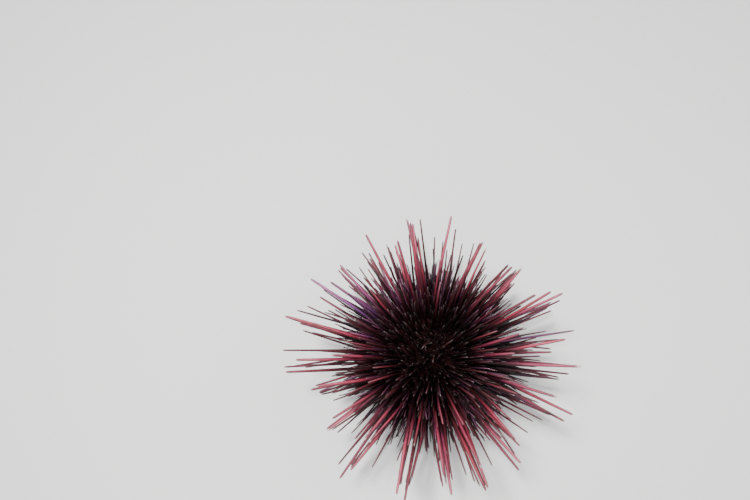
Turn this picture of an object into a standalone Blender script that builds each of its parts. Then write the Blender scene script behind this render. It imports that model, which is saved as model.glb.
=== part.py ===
# Red sea urchin, life size, resting on its underside with its spines spread as in a burst
# Metres, +Z up. The origin is on the floor, under the middle of the animal

import math
import random

import bmesh
import bpy
import numpy
from mathutils import Matrix, Vector

MM = 0.001
GAP = 0.3 * MM                  # left between nodes that touch
SEED = 11                       # of every random draw

# The test, which is the round shell under the spines
TEST_RADIUS = 55 * MM
WAIST_HEIGHT = 34 * MM          # of the test's widest ring above the floor
TEST_RISE = 32 * MM             # from the waist to the top
TEST_DROP = 20 * MM             # from the waist to the underside
UNDERSIDE_FULLNESS = 0.7        # below 1 the underside is flatter and its edge rounder
CORE_RADIUS = 1.5 * MM          # the sectors' inner edge
SURFACE_STEP = 11               # degrees of colatitude between two rings of the test's mesh

# Five fields that carry tube feet, and the five wider fields between them
SECTORS = 5
AMBULACRUM_WIDTH = 26           # degrees
INTERAMBULACRUM_WIDTH = 360 / SECTORS - AMBULACRUM_WIDTH
FIRST_BEARING = 90              # of the first ambulacrum, degrees from +X towards +Y
SECTOR_STEP = 9                 # degrees between two columns of the test's mesh

# Spines: where they stand, by colatitude, and how they lie and reach there
FIRST_RING = 16                 # degrees of colatitude
LAST_RING = 158
RING_SPACING = 6.5 * MM
LOWER_RING_SPACING = 7.4 * MM   # under the waist
COLUMN_SPACING = 6.8 * MM
EDGE_MARGIN = 2.7 * MM          # from a spine's root to the side of its sector
SPINE_SINK = 3.5 * MM           # of a root under the surface
SPINE_BASE_RADIUS = 1.1 * MM
SPINE_BASE_GROWTH = 0.0065      # added to the base radius for each unit of length
SPINE_TIP_RADIUS = 0.5 * MM
LONG_SPINE = 40 * MM            # from this length a spine has more sides
LONG_SPINE_SIDES = 5
SPINE_SIDES = 4
SPINE_GAP = 0.45 * MM           # kept between two spines
SPINE_PLACES = (15, 30, 50, 70, 85, 98, 118, 135, 158)     # degrees of colatitude
SPINE_RISES = (84, 70, 46, 22, 8, -6, -30, -54, -72)       # degrees above the horizontal
SPINE_LENGTHS = (38, 46, 58, 68, 62, 50, 38, 32, 22)       # mm

# Short spines between the long ones
SHORT_PLACES = (20, 125)        # colatitudes between which they stand
SHORT_SHARE = 0.5               # of the places between the long spines
SHORT_LENGTHS = (10 * MM, 19 * MM)
SHORT_BASE_RADIUS = 0.75 * MM
SHORT_TIP_RADIUS = 0.3 * MM
SHORT_SPREAD = 14               # degrees, of their rise and bearing about the surface's

# Sheaves of long spines whose tips draw together: bearing in degrees, reach in mm
SHEAVES = (
    (2, 118), (22, 122), (42, 104), (63, 108), (80, 116), (99, 122), (109, 102), (121, 110),
    (138, 114), (151, 117), (168, 124), (188, 126), (201, 102), (218, 116), (236, 138),
    (259, 122), (277, 122), (291, 127), (308, 130), (333, 128), (349, 122),
)
HALF_SPAN = 124 * MM            # from the middle to the farthest tip, along X and Y
SHEAF_PLACES = (28, 114)        # colatitudes between which spines join the sheaves
SHEAF_SHARE = 0.66              # of the spines there
SHEAF_PULL = 0.7                # how far a tip moves from its root's bearing to the sheaf's
SHEAF_SPREAD = 2                # degrees, of the tips' bearings
SHEAF_LENGTHS = (0.8, 1)        # least and greatest, as shares of what the reach asks for
SHEAF_STRETCH = 1.3             # of the length for the place, at most
LONE_SPREAD = 12                # degrees, of a lone spine's bearing about its root's
LONE_LENGTHS = (0.62, 0.95)
RISE_SPREAD = 7                 # degrees, of every spine's rise
FIRST_PLACED = 70               # colatitude of the spines that get their wish first
FREE_TRIES = 9                  # to find room for a spine at its full length
SHORTER_TRIES = 6               # then at a shorter one

# Spines that reach the floor
TIP_CLEARANCE = 1 * MM          # of a raised tip over the floor
FOOT_RISE = -30                 # spines that point down more steeply stand on the floor
FOOT_EXCESS = 2 * MM            # of their length past the floor, cut off level

# The disc at the top and the skin round the mouth
DISC_RADIUS = 11 * MM
DISC_DEPTH = 6 * MM
DISC_CROWN = 0.6 * MM           # of its surface, from the rim to the vent
VENT_RADIUS = 4.2 * MM
VENT_DEPTH = 2.5 * MM
PLATE_CIRCLE = 7.6 * MM         # radius through the middles of the five large plates
PLATE_RADIUS = 2.7 * MM
SIEVE_PLATE_RADIUS = 3.2 * MM   # one large plate is the sieve
EYE_PLATE_CIRCLE = 9.4 * MM     # and of the five small ones between them
EYE_PLATE_RADIUS = 1.4 * MM
PLATE_STAND = 0.8 * MM          # of a plate's face over the disc
PLATE_SIDES = 6
PLATE_TAPER = 0.85              # of a plate's radius, from its foot to its face
DISC_SPINE_CIRCLE = 8.6 * MM
DISC_SPINE_TURNS = (-15, 15, 36)    # degrees from each large plate's middle
DISC_SPINE_RISE = 76
DISC_SPINE_LENGTH = 12 * MM
MOUTH_SKIN_RADIUS = 20 * MM
MOUTH_SKIN_DEPTH = 6 * MM
MOUTH_SAG = 1 * MM              # of the skin towards the mouth
MOUTH_FOOT_CIRCLE = 12 * MM     # radius through the five pairs of feet round the mouth
MOUTH_FOOT_TURN = 9             # degrees from the pair's middle
MOUTH_FOOT_LENGTH = 5 * MM
MOUTH_FOOT_RADIUS = 0.9 * MM    # half of that at the tip
TEETH_RADIUS = 5.5 * MM
TEETH_DEPTH = 3.5 * MM
TOOTH_CIRCLE = 3.4 * MM
TOOTH_LENGTH = 6 * MM
TOOTH_RADIUS = 1.5 * MM
TOOTH_TIP_RADIUS = 0.4 * MM
TOOTH_SIDES = 4
TOOTH_RISE = -66                # each tooth leans towards the middle

RED = (0.30, 0.02, 0.035)
DARK_RED = (0.13, 0.012, 0.025)
PALE = (0.62, 0.50, 0.42)


def material(name, colour, roughness):
    made = bpy.data.materials.new(name)
    made.use_nodes = True
    shader = made.node_tree.nodes["Principled BSDF"]
    shader.inputs["Base Color"].default_value = (*colour, 1)
    shader.inputs["Roughness"].default_value = roughness
    shader.inputs["Metallic"].default_value = 0
    return made


def mesh_object(name, shape, collection):
    mesh = bpy.data.meshes.new(name)
    shape.to_mesh(mesh)
    shape.free()
    made = bpy.data.objects.new(name, mesh)
    collection.objects.link(made)
    return made


def largest_surface(shape):
    # Deletes all but the largest connected surface
    left = set(shape.verts)
    surfaces = []
    while left:
        reached = {left.pop()}
        edge = list(reached)
        while edge:
            near = {e.other_vert(v) for v in edge for e in v.link_edges} & left
            left -= near
            reached |= near
            edge = list(near)
        surfaces.append(reached)
    surfaces.sort(key=len)
    for loose in surfaces[:-1]:
        bmesh.ops.delete(shape, geom=list(loose), context="VERTS")


def level_feet(shape):
    # Cuts off what is below the floor and closes each cut with a flat
    bmesh.ops.bisect_plane(
        shape, geom=shape.verts[:] + shape.edges[:] + shape.faces[:], dist=0.001 * MM,
        plane_co=(0, 0, 0), plane_no=(0, 0, 1), clear_inner=True,
    )
    open_edges = [edge for edge in shape.edges if edge.is_boundary]
    bmesh.ops.holes_fill(shape, edges=open_edges, sides=0)


def node(name, body, colour, roughness=0.5, pieces=()):
    # One closed solid from a body and the pieces that grow from it
    made = mesh_object(name, body, animal)
    if pieces:
        grown = bpy.data.collections.new(name + "_pieces")
        bpy.context.scene.collection.children.link(grown)
        for piece in pieces:
            mesh_object(name + "_piece", piece, grown)
        union = made.modifiers.new("union", "BOOLEAN")
        union.operation = "UNION"
        union.solver = "EXACT"
        union.operand_type = "COLLECTION"
        union.collection = grown
        evaluated = made.evaluated_get(bpy.context.evaluated_depsgraph_get())
        fused = bmesh.new()
        fused.from_mesh(evaluated.data)
        largest_surface(fused)
        level_feet(fused)
        bmesh.ops.triangulate(fused, faces=fused.faces)
        made.modifiers.remove(union)
        fused.to_mesh(made.data)
        fused.free()
        for piece in list(grown.objects):
            bpy.data.objects.remove(piece, do_unlink=True)
        bpy.data.collections.remove(grown)
    made.data.materials.clear()
    made.data.materials.append(material(name, colour, roughness))
    return made


def radius_and_height(colatitude):
    # Colatitude is in degrees: 0 at the top of the test, 90 at its waist, 180 under it
    sine = max(math.sin(math.radians(colatitude)), 0)
    cosine = math.cos(math.radians(colatitude))
    if colatitude <= 90:
        return TEST_RADIUS * sine, WAIST_HEIGHT + TEST_RISE * cosine
    return TEST_RADIUS * sine ** UNDERSIDE_FULLNESS, WAIST_HEIGHT + TEST_DROP * cosine


def heading(bearing, rise=0):
    # The direction with a bearing from +X towards +Y and a rise above the horizontal
    flat = math.cos(math.radians(rise))
    angle = math.radians(bearing)
    return Vector((flat * math.cos(angle), flat * math.sin(angle), math.sin(math.radians(rise))))


def surface_point(colatitude, bearing):
    radius, height = radius_and_height(colatitude)
    return heading(bearing) * radius + Vector((0, 0, height))


def edge_colatitudes():
    # Where the test's surface ends at the disc's pocket and at the mouth skin's pocket
    top = math.degrees(math.asin((DISC_RADIUS + GAP) / TEST_RADIUS))
    ratio = ((MOUTH_SKIN_RADIUS + GAP) / TEST_RADIUS) ** (1 / UNDERSIDE_FULLNESS)
    return top, 180 - math.degrees(math.asin(ratio))


def sector_profile():
    # The test's outer curve, then the pockets for the mouth skin and for the disc
    top, bottom = edge_colatitudes()
    steps = round((bottom - top) / SURFACE_STEP)
    curve = [radius_and_height(top + (bottom - top) * n / steps) for n in range(steps + 1)]
    ceiling = curve[-1][1] + MOUTH_SKIN_DEPTH
    shelf = curve[0][1] - DISC_DEPTH
    return curve + [
        (MOUTH_SKIN_RADIUS + GAP, ceiling),
        (CORE_RADIUS, ceiling),
        (CORE_RADIUS, shelf),
        (DISC_RADIUS + GAP, shelf),
    ]


def sector_body(bearing, width):
    # A wedge of the test from its middle to its surface, clear of the next wedges
    body = bmesh.new()
    corners = [
        body.verts.new(heading(bearing - width / 2) * radius + Vector((0, 0, height)))
        for radius, height in sector_profile()
    ]
    bmesh.ops.spin(
        body, geom=[body.faces.new(corners)], axis=(0, 0, 1), angle=math.radians(width),
        steps=math.ceil(width / SECTOR_STEP),
    )
    bmesh.ops.recalc_face_normals(body, faces=body.faces)
    shift = GAP / 2 / math.sin(math.radians(width / 2))
    bmesh.ops.translate(body, vec=heading(bearing) * shift, verts=body.verts)
    return body


def ring_colatitudes():
    # Rings of spines at equal distances along the test's surface
    rings = []
    colatitude = FIRST_RING
    while colatitude < LAST_RING:
        rings.append(colatitude)
        degree = (surface_point(colatitude + 1, 0) - surface_point(colatitude, 0)).length
        spacing = RING_SPACING if colatitude < 90 else LOWER_RING_SPACING
        colatitude += spacing / degree
    return rings


def column_bearings(colatitude, ring, bearing, width):
    # The spines' bearings in one ring of one sector, staggered from ring to ring
    radius = radius_and_height(colatitude)[0]
    half = width / 2 - math.degrees(EDGE_MARGIN / radius)
    if half < 0:
        return []
    columns = round(2 * math.radians(half) * radius / COLUMN_SPACING + 0.5)
    if columns < 2:
        return [bearing]
    step = 2 * half / (columns - 0.5)
    return [bearing - half + step * (n + ring % 2 / 2) for n in range(columns)]


def turn_between(bearing, other):
    # The shorter way round from one bearing to the other, in degrees
    return (other - bearing + 180) % 360 - 180


def nearest_sheaf(bearing):
    return min(SHEAVES, key=lambda sheaf: abs(turn_between(bearing, sheaf[0])))


class Spine:
    def __init__(self, owner, root, direction, length, base_radius, tip_radius):
        self.owner = owner
        self.root = root
        self.direction = direction
        self.length = length
        self.base_radius = base_radius
        self.tip_radius = tip_radius

    def tip(self):
        return self.root + self.direction * self.length


def room_round(spine, others):
    # The least distance from a spine's side to those of the others
    if not others:
        return math.inf
    roots = numpy.array([other.root for other in others])
    spans = numpy.array([other.direction * other.length for other in others])
    bases = numpy.array([other.base_radius for other in others])
    tips = numpy.array([other.tip_radius for other in others])
    root = numpy.array(spine.root)
    span = numpy.array(spine.direction * spine.length)
    between = root - roots
    own = span @ span
    theirs = (spans * spans).sum(axis=1)
    mixed = spans @ span
    along_own = between @ span
    along_theirs = (between * spans).sum(axis=1)
    spread = numpy.maximum(own * theirs - mixed * mixed, 1e-18)
    here = numpy.clip((mixed * along_theirs - theirs * along_own) / spread, 0, 1)
    there = numpy.clip((mixed * here + along_theirs) / theirs, 0, 1)
    here = numpy.clip((mixed * there - along_own) / own, 0, 1)
    apart = between + here[:, None] * span - there[:, None] * spans
    thickness = spine.base_radius + (spine.tip_radius - spine.base_radius) * here
    thickness += bases + (tips - bases) * there
    return (numpy.linalg.norm(apart, axis=1) - thickness).min()


def surface_rise(colatitude):
    # How steeply the surface faces up there, in degrees
    above = radius_and_height(colatitude - 0.5)
    below = radius_and_height(colatitude + 0.5)
    return math.degrees(math.atan2(below[0] - above[0], above[1] - below[1]))


def long_spine(owner, colatitude, bearing, draw):
    # A long spine as it would stand with nothing in its way
    root = surface_point(colatitude, bearing)
    rise = numpy.interp(colatitude, SPINE_PLACES, SPINE_RISES)
    rise += draw.uniform(-RISE_SPREAD, RISE_SPREAD)
    length = numpy.interp(colatitude, SPINE_PLACES, SPINE_LENGTHS) * MM
    if SHEAF_PLACES[0] < colatitude < SHEAF_PLACES[1] and draw.random() < SHEAF_SHARE:
        sheaf_bearing, reach = nearest_sheaf(bearing)
        turn = turn_between(bearing, sheaf_bearing) * SHEAF_PULL
        turn += draw.uniform(-SHEAF_SPREAD, SHEAF_SPREAD)
        way = heading(bearing + turn) * reach * MM - Vector((root.x, root.y, 0))
        towards = math.degrees(math.atan2(way.y, way.x))
        length = min(length * SHEAF_STRETCH, way.length / math.cos(math.radians(rise)))
        length *= draw.uniform(*SHEAF_LENGTHS)
    else:
        towards = bearing + draw.uniform(-LONE_SPREAD, LONE_SPREAD)
        length *= draw.uniform(*LONE_LENGTHS)
    base = SPINE_BASE_RADIUS + SPINE_BASE_GROWTH * length
    return Spine(owner, root, heading(towards, rise), length, base, SPINE_TIP_RADIUS)


def short_spine(owner, colatitude, bearing, draw):
    # A short spine, which stands nearly square to the surface
    root = surface_point(colatitude, bearing)
    rise = surface_rise(colatitude) + draw.uniform(-SHORT_SPREAD, SHORT_SPREAD)
    towards = bearing + draw.uniform(-SHORT_SPREAD, SHORT_SPREAD)
    length = draw.uniform(*SHORT_LENGTHS)
    return Spine(owner, root, heading(towards, rise), length, SHORT_BASE_RADIUS, SHORT_TIP_RADIUS)


def kept_off_floor(spine):
    # Steep spines end on the floor, and the others stop over it
    rise = math.degrees(math.asin(spine.direction.z))
    if spine.tip().z < TIP_CLEARANCE:
        end = -FOOT_EXCESS if rise < FOOT_RISE else TIP_CLEARANCE
        spine.length = (end - spine.root.z) / spine.direction.z
    return spine


def disc_spines():
    # Short spines round the large plates of the disc
    made = []
    for bearing in plate_bearings():
        for turn in DISC_SPINE_TURNS:
            root = heading(bearing + turn) * DISC_SPINE_CIRCLE + Vector((0, 0, disc_rim_height()))
            way = heading(bearing + turn, DISC_SPINE_RISE)
            made.append(Spine(
                "apical_disc", root, way, DISC_SPINE_LENGTH, SHORT_BASE_RADIUS, SHORT_TIP_RADIUS,
            ))
    return made


def spine_places(draw):
    # Where the long spines stand, and some of the places halfway between their rings
    long_places, short_places = [], []
    rings = ring_colatitudes()
    for ring, colatitude in enumerate(rings):
        between = (colatitude + rings[min(ring + 1, len(rings) - 1)]) / 2
        for name, bearing, width, colour in sectors():
            for column in column_bearings(colatitude, ring, bearing, width):
                long_places.append((name, colatitude, column))
            for column in column_bearings(between, ring, bearing, width):
                if SHORT_PLACES[0] < between < SHORT_PLACES[1] and draw.random() < SHORT_SHARE:
                    short_places.append((name, between, column))
    long_places.sort(key=lambda place: abs(place[1] - FIRST_PLACED))
    return long_places, short_places


def all_spines():
    # Every spine, the long ones first, each turned or shortened until it clears the rest
    draw = random.Random(SEED)
    made = disc_spines()
    for places, wanted in zip(spine_places(draw), (long_spine, short_spine)):
        for place in places:
            for attempt in range(FREE_TRIES + SHORTER_TRIES):
                spine = kept_off_floor(wanted(*place, draw))
                if attempt >= FREE_TRIES:
                    spine.length *= 1 - (attempt - FREE_TRIES + 1) / (SHORTER_TRIES + 2)
                if room_round(spine, made) > SPINE_GAP:
                    made.append(spine)
                    break
    return fitted_to_span(made)


def fitted_to_span(spines):
    # The farthest tips to the left, right, front and back reach just as far as each other
    for side in (Vector((1, 0, 0)), Vector((-1, 0, 0)), Vector((0, 1, 0)), Vector((0, -1, 0))):
        farthest = max(spines, key=lambda spine: spine.tip().dot(side))
        for spine in spines:
            if spine is farthest or spine.tip().dot(side) > HALF_SPAN:
                spine.length = (HALF_SPAN - spine.root.dot(side)) / spine.direction.dot(side)
    return spines


def cone(start, direction, length, base, tip, sides, roll=0):
    made = bmesh.new()
    turn = direction.to_track_quat("Z", "Y").to_matrix().to_4x4()
    place = Matrix.Translation(start + direction * length / 2) @ turn @ Matrix.Rotation(roll, 4, "Z")
    bmesh.ops.create_cone(
        made, cap_ends=True, segments=sides, radius1=base, radius2=tip, depth=length, matrix=place,
    )
    return made


def spine_body(spine, roll):
    start = spine.root - spine.direction * SPINE_SINK
    sides = LONG_SPINE_SIDES if spine.length > LONG_SPINE else SPINE_SIDES
    return cone(
        start, spine.direction, spine.length + SPINE_SINK, spine.base_radius,
        spine.tip_radius, sides, roll,
    )


def sectors():
    # Name, middle bearing, width and colour of each of the ten fields
    made = []
    for number, plate in enumerate(plate_bearings()):
        bearing = plate - 180 / SECTORS
        made.append((f"ambulacrum_{number + 1}", bearing, AMBULACRUM_WIDTH, DARK_RED))
        made.append((f"interambulacrum_{number + 1}", plate, INTERAMBULACRUM_WIDTH, RED))
    return made


def plate_bearings():
    # The middles of the wider fields, where the disc's large plates and the teeth stand
    return [FIRST_BEARING + (n + 0.5) * 360 / SECTORS for n in range(SECTORS)]


def turned(points, steps=25):
    # A closed solid from a profile that starts and ends on the axis
    made = bmesh.new()
    corners = [made.verts.new((radius, 0, height)) for radius, height in points]
    edges = [made.edges.new(pair) for pair in zip(corners, corners[1:])]
    bmesh.ops.spin(
        made, geom=corners + edges, axis=(0, 0, 1), angle=math.tau, steps=steps, use_merge=True,
    )
    bmesh.ops.remove_doubles(made, verts=made.verts, dist=0.01 * MM)
    bmesh.ops.recalc_face_normals(made, faces=made.faces)
    return made


def disc_rim_height():
    return radius_and_height(edge_colatitudes()[0])[1]


def mouth_skin_height():
    return radius_and_height(edge_colatitudes()[1])[1]


def disc_plate(bearing, circle, radius):
    # A six-sided plate that stands a little over the disc
    start = heading(bearing) * circle + Vector((0, 0, disc_rim_height() - PLATE_STAND))
    rise = Vector((0, 0, 1))
    height = 2 * PLATE_STAND + DISC_CROWN / 2
    face_radius = radius * PLATE_TAPER
    return cone(start, rise, height, radius, face_radius, PLATE_SIDES, math.radians(bearing))


def apical_disc(spines):
    rim = disc_rim_height()
    hole = VENT_RADIUS + GAP
    body = turned([
        (0, rim - DISC_DEPTH + GAP),
        (DISC_RADIUS, rim - DISC_DEPTH + GAP),
        (DISC_RADIUS, rim),
        (hole, rim + DISC_CROWN),
        (hole, rim - VENT_DEPTH),
        (0, rim - VENT_DEPTH),
    ])
    plates = []
    for number, bearing in enumerate(plate_bearings()):
        radius = PLATE_RADIUS if number else SIEVE_PLATE_RADIUS
        plates.append(disc_plate(bearing, PLATE_CIRCLE, radius))
        plates.append(disc_plate(bearing + 180 / SECTORS, EYE_PLATE_CIRCLE, EYE_PLATE_RADIUS))
    return node("apical_disc", body, DARK_RED, pieces=plates + spines)


def periproct():
    rim = disc_rim_height()
    return node("periproct", turned([
        (0, rim - VENT_DEPTH + GAP),
        (VENT_RADIUS, rim - VENT_DEPTH + GAP),
        (VENT_RADIUS, rim + DISC_CROWN / 2),
        (0, rim + 2 * DISC_CROWN),
    ], 20), DARK_RED)


def peristome():
    skin = mouth_skin_height()
    hole = TEETH_RADIUS + GAP
    body = turned([
        (0, skin + MOUTH_SKIN_DEPTH - GAP),
        (MOUTH_SKIN_RADIUS, skin + MOUTH_SKIN_DEPTH - GAP),
        (MOUTH_SKIN_RADIUS, skin),
        (hole, skin - MOUTH_SAG),
        (hole, skin + TEETH_DEPTH),
        (0, skin + TEETH_DEPTH),
    ])
    feet = []
    for plate in plate_bearings():
        for turn in (-MOUTH_FOOT_TURN, MOUTH_FOOT_TURN):
            start = heading(plate + 180 / SECTORS + turn) * MOUTH_FOOT_CIRCLE
            start.z = skin + MOUTH_SAG
            feet.append(cone(
                start, Vector((0, 0, -1)), MOUTH_FOOT_LENGTH + MOUTH_SAG, MOUTH_FOOT_RADIUS,
                MOUTH_FOOT_RADIUS / 2, SPINE_SIDES,
            ))
    return node("peristome", body, DARK_RED, pieces=feet)


def teeth():
    skin = mouth_skin_height()
    body = turned([
        (0, skin + TEETH_DEPTH - GAP),
        (TEETH_RADIUS, skin + TEETH_DEPTH - GAP),
        (TEETH_RADIUS, skin - MOUTH_SAG),
        (0, skin - 2 * MOUTH_SAG),
    ], 20)
    made = []
    for bearing in plate_bearings():
        way = -heading(bearing, -TOOTH_RISE)
        start = heading(bearing) * TOOTH_CIRCLE + Vector((0, 0, skin)) - way * MOUTH_SAG
        made.append(cone(
            start, way, TOOTH_LENGTH + MOUTH_SAG, TOOTH_RADIUS, TOOTH_TIP_RADIUS, TOOTH_SIDES,
        ))
    return node("teeth", body, PALE, 0.35, pieces=made)


for old in list(bpy.data.objects):
    bpy.data.objects.remove(old, do_unlink=True)
animal = bpy.data.collections.new("sea_urchin")
bpy.context.scene.collection.children.link(animal)

spines = all_spines()
grown = {}
for number, spine in enumerate(spines):
    grown.setdefault(spine.owner, []).append(spine_body(spine, number))
for name, bearing, width, colour in sectors():
    node(name, sector_body(bearing, width), colour, pieces=grown[name])
apical_disc(grown["apical_disc"])
periproct()
peristome()
teeth()
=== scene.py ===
# Red sea urchin, life size: the test's skin, ribbed spines, tube feet, plates, mouth and teeth
import math
import random
from dataclasses import dataclass

import bmesh
import bpy
import numpy
from mathutils import Matrix, Vector, noise


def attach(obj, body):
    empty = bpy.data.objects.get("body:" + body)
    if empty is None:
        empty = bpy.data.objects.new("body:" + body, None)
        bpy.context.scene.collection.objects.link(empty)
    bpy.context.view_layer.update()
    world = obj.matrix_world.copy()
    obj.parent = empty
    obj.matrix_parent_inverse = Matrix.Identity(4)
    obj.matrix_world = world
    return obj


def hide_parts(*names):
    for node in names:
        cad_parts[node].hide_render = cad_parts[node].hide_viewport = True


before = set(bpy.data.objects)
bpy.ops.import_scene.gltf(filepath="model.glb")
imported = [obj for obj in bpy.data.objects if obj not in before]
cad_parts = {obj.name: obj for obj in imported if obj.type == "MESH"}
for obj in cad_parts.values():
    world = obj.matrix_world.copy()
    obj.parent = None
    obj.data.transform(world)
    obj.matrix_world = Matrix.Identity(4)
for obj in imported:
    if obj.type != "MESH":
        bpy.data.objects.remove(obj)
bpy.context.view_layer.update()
print("frame loaded")

mm = 0.001
goldenTurn = 137.5               # degrees from one to the next, which spreads them evenly

# Shape of the test, as the solids have it
test = {
    "radius": 55 * mm,
    "waistHeight": 34 * mm,
    "rise": 32 * mm,             # of its top over the waist
    "drop": 20 * mm,             # of its underside below the waist
    "undersideFullness": 0.7,
    "discRadius": 11 * mm,
    "mouthRadius": 20 * mm,
    "gap": 0.3 * mm,
}

fields = {
    "count": 5,
    "ambulacrumWidth": 26,       # degrees
    "firstBearing": 90,
}

# Where the spines stand and how they lie, as the solids have them, with angles in degrees
lie = {
    "seed": 11,
    "firstRing": 16,             # colatitude
    "lastRing": 158,
    "ringSpacing": 6.5 * mm,
    "lowerRingSpacing": 7.4 * mm,
    "columnSpacing": 6.8 * mm,
    "edgeMargin": 2.7 * mm,
    "baseRadius": 1.1 * mm,
    "baseGrowth": 0.0065,        # of the base's radius with the length
    "tipRadius": 0.5 * mm,
    "gap": 0.45 * mm,
    "places": (15, 30, 50, 70, 85, 98, 118, 135, 158),
    "rises": (84, 70, 46, 22, 8, -6, -30, -54, -72),    # at those places, and the lengths in mm
    "lengths": (38, 46, 58, 68, 62, 50, 38, 32, 22),
    "shortPlaces": (20, 125),
    "shortShare": 0.5,
    "shortLengths": (10 * mm, 19 * mm),
    "shortBaseRadius": 0.75 * mm,
    "shortTipRadius": 0.3 * mm,
    "shortSpread": 14,
    "halfSpan": 124 * mm,
    "sheafPlaces": (28, 114),
    "sheafShare": 0.66,
    "sheafPull": 0.7,            # share of the turn towards the nearest sheaf
    "sheafSpread": 2,
    "sheafLengths": (0.8, 1),
    "sheafStretch": 1.3,
    "loneSpread": 12,
    "loneLengths": (0.62, 0.95),
    "riseSpread": 7,
    "firstPlaced": 70,
    "freeTries": 9,
    "shorterTries": 6,
    "tipClearance": 1 * mm,
    "footRise": -30,             # steeper ones reach the floor
    "footExcess": 2 * mm,
    "discCircle": 8.6 * mm,
    "discTurns": (-15, 15, 36),
    "discRise": 76,
    "discLength": 12 * mm,
}

# Bearing in degrees, reach in mm
sheaves = (
    (2, 118), (22, 122), (42, 104), (63, 108), (80, 116), (99, 122), (109, 102), (121, 110),
    (138, 114), (151, 117), (168, 124), (188, 126), (201, 102), (218, 116), (236, 138),
    (259, 122), (277, 122), (291, 127), (308, 130), (333, 128), (349, 122),
)


def radiusAndHeight(colatitude):
    sine = max(math.sin(math.radians(colatitude)), 0)
    cosine = math.cos(math.radians(colatitude))
    if colatitude <= 90:
        return test["radius"] * sine, test["waistHeight"] + test["rise"] * cosine
    fullness = test["undersideFullness"]
    return test["radius"] * sine ** fullness, test["waistHeight"] + test["drop"] * cosine


def colatitudeOf(height):
    if height >= test["waistHeight"]:
        return math.degrees(math.acos(min((height - test["waistHeight"]) / test["rise"], 1)))
    return 180 - math.degrees(math.acos(min((test["waistHeight"] - height) / test["drop"], 1)))


def heading(bearing, rise=0):
    flat = math.cos(math.radians(rise))
    angle = math.radians(bearing)
    return Vector((flat * math.cos(angle), flat * math.sin(angle), math.sin(math.radians(rise))))


def bearingOf(place):
    return math.degrees(math.atan2(place.y, place.x))


def reachOf(place):
    return math.hypot(place.x, place.y)


def turnBetween(bearing, other):
    return (other - bearing + 180) % 360 - 180


def surfacePoint(colatitude, bearing):
    radius, height = radiusAndHeight(colatitude)
    return heading(bearing) * radius + Vector((0, 0, height))


def degreeLength(colatitude):
    return (surfacePoint(colatitude + 1, 0) - surfacePoint(colatitude, 0)).length


def surfaceRise(colatitude):
    # Of the way square to the surface, over half a degree each way
    above = radiusAndHeight(colatitude - 0.5)
    below = radiusAndHeight(colatitude + 0.5)
    return math.degrees(math.atan2(below[0] - above[0], above[1] - below[1]))


def edgeColatitudes():
    top = math.degrees(math.asin((test["discRadius"] + test["gap"]) / test["radius"]))
    ratio = (test["mouthRadius"] + test["gap"]) / test["radius"]
    return top, 180 - math.degrees(math.asin(ratio ** (1 / test["undersideFullness"])))


rimHeight, mouthHeight = [radiusAndHeight(colatitude)[1] for colatitude in edgeColatitudes()]


def plateBearings():
    step = 360 / fields["count"]
    return [fields["firstBearing"] + (n + 0.5) * step for n in range(fields["count"])]


def fieldList():
    made = []
    wide = 360 / fields["count"] - fields["ambulacrumWidth"]
    for number, plate in enumerate(plateBearings()):
        bearing = plate - 180 / fields["count"]
        made.append((f"ambulacrum_{number + 1}", bearing, fields["ambulacrumWidth"]))
        made.append((f"interambulacrum_{number + 1}", plate, wide))
    return made


def fieldAt(bearing):
    return min(fieldList(), key=lambda field: abs(turnBetween(bearing, field[1])) - field[2] / 2)


def swing(draw, most):
    return draw.uniform(-most, most)


def wayOut(colatitude, bearing, draw, spread):
    # About square to the surface
    rise = surfaceRise(colatitude) + swing(draw, spread)
    return heading(bearing + swing(draw, spread), rise)


# The spines: the same draws in the same order as in the solids
@dataclass
class Spine:
    owner: str
    root: Vector
    direction: Vector
    length: float
    baseRadius: float
    tipRadius: float
    alone: bool = False          # outside the sheaves
    leading: float = 0           # above 0: one of the brightest of its sheaf, and how bright; partly painted light on the top of its sheaf
    between: bool = False        # every second one round the urchin, a darker one: painted shade that parts neighbours

    def tip(self):
        return self.root + self.direction * self.length


def tipBearing(spine):
    return bearingOf(spine.tip())


def tipReach(spine):
    return reachOf(spine.tip())


def ringColatitudes():
    rings = []
    colatitude = lie["firstRing"]
    while colatitude < lie["lastRing"]:
        rings.append(colatitude)
        spacing = lie["ringSpacing"] if colatitude < 90 else lie["lowerRingSpacing"]
        colatitude += spacing / degreeLength(colatitude)
    return rings


def columnBearings(colatitude, ring, bearing, width):
    radius = radiusAndHeight(colatitude)[0]
    half = width / 2 - math.degrees(lie["edgeMargin"] / radius)
    if half < 0:
        return []
    columns = round(2 * math.radians(half) * radius / lie["columnSpacing"] + 0.5)
    if columns < 2:
        return [bearing]
    step = 2 * half / (columns - 0.5)
    return [bearing - half + step * (n + ring % 2 / 2) for n in range(columns)]


def nearestSheaf(bearing):
    return min(sheaves, key=lambda sheaf: abs(turnBetween(bearing, sheaf[0])))


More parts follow.
